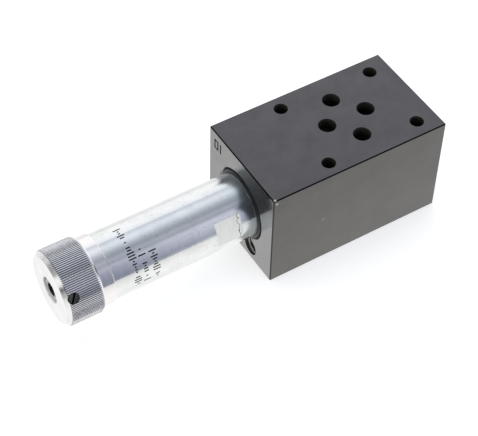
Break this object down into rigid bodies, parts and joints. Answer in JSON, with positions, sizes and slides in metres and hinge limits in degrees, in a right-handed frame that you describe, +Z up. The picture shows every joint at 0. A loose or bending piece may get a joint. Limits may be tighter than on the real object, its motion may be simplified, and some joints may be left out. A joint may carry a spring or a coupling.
{
  "type": "hydraulic sandwich valve",
  "caption": "Pressure reducing sandwich plate valve with a long screwed-in spring sleeve and a knurled adjusting knob, standard port pattern on both faces.",
  "frame": {"origin": "centre of the port pattern, on the lower interface face", "axes": "+Z up out of the upper interface face, +X along the valve axis away from the knob, the P port towards -Y"},
  "size_m": [0.1573, 0.0446, 0.045],
  "materials": {
    "block_iron": "machined and phosphated, dull dark grey",
    "zinc_plated_steel": "turned, bright zinc plated",
    "seal_rubber": "moulded nitrile rubber, semi-matt",
    "plug_steel": "turned, bright zinc plated",
    "spring_steel": "oil-tempered spring wire",
    "hardened_steel": "hardened and ground",
    "orifice_brass": "turned brass",
    "turned_steel": "turned steel",
    "backup_plastic": "moulded PTFE",
    "ball_steel": "lapped bearing steel",
    "knob_aluminium": "turned and straight knurled, bright",
    "black_screw_steel": "black oxide, oiled",
    "spindle_steel": "turned steel, plain"
  },
  "bodies": {
    "housing": {"valve_body": "block_iron", "adjuster_sleeve": "zinc_plated_steel", "sleeve_o_ring": "seal_rubber", "end_plug": "plug_steel", "end_plug_o_ring": "seal_rubber", "port_p_o_ring": "seal_rubber", "port_t_o_ring": "seal_rubber", "port_a_o_ring": "seal_rubber", "port_b_o_ring": "seal_rubber", "main_spring": "spring_steel"},
    "spool": {"control_spool": "hardened_steel", "spool_orifice": "orifice_brass", "lower_spring_plate": "turned_steel"},
    "spring_plate": {"upper_spring_plate": "turned_steel", "plate_o_ring": "seal_rubber", "plate_backup_ring": "backup_plastic", "thrust_ball": "ball_steel"},
    "knob": {"control_knob": "knob_aluminium", "knob_set_screw": "black_screw_steel", "set_screw_pad": "orifice_brass", "adjusting_spindle": "spindle_steel", "spindle_stop_ring": "spring_steel"}
  },
  "joints": [
    {"name": "plate_slide", "type": "slide", "parent": "housing", "child": "spring_plate", "axis": [1, 0, 0], "range_m": [0, 0.006], "deforming": ["main_spring"]},
    {"name": "knob_turn", "type": "hinge", "parent": "spring_plate", "child": "knob", "pos_m": [-0.12, 0, 0.0225], "axis": [1, 0, 0], "range_deg": [0, 1440.1]},
    {"name": "spool_slide", "type": "slide", "parent": "housing", "child": "spool", "axis": [1, 0, 0], "range_m": [-0.004, 0], "stiffness_N_per_m": 2000, "springref_m": 0.002, "deforming": ["main_spring"]}
  ],
  "couplings": [
    {"joint": "knob_turn", "follows": "plate_slide", "rad_per_m": 4188.8}
  ]
}
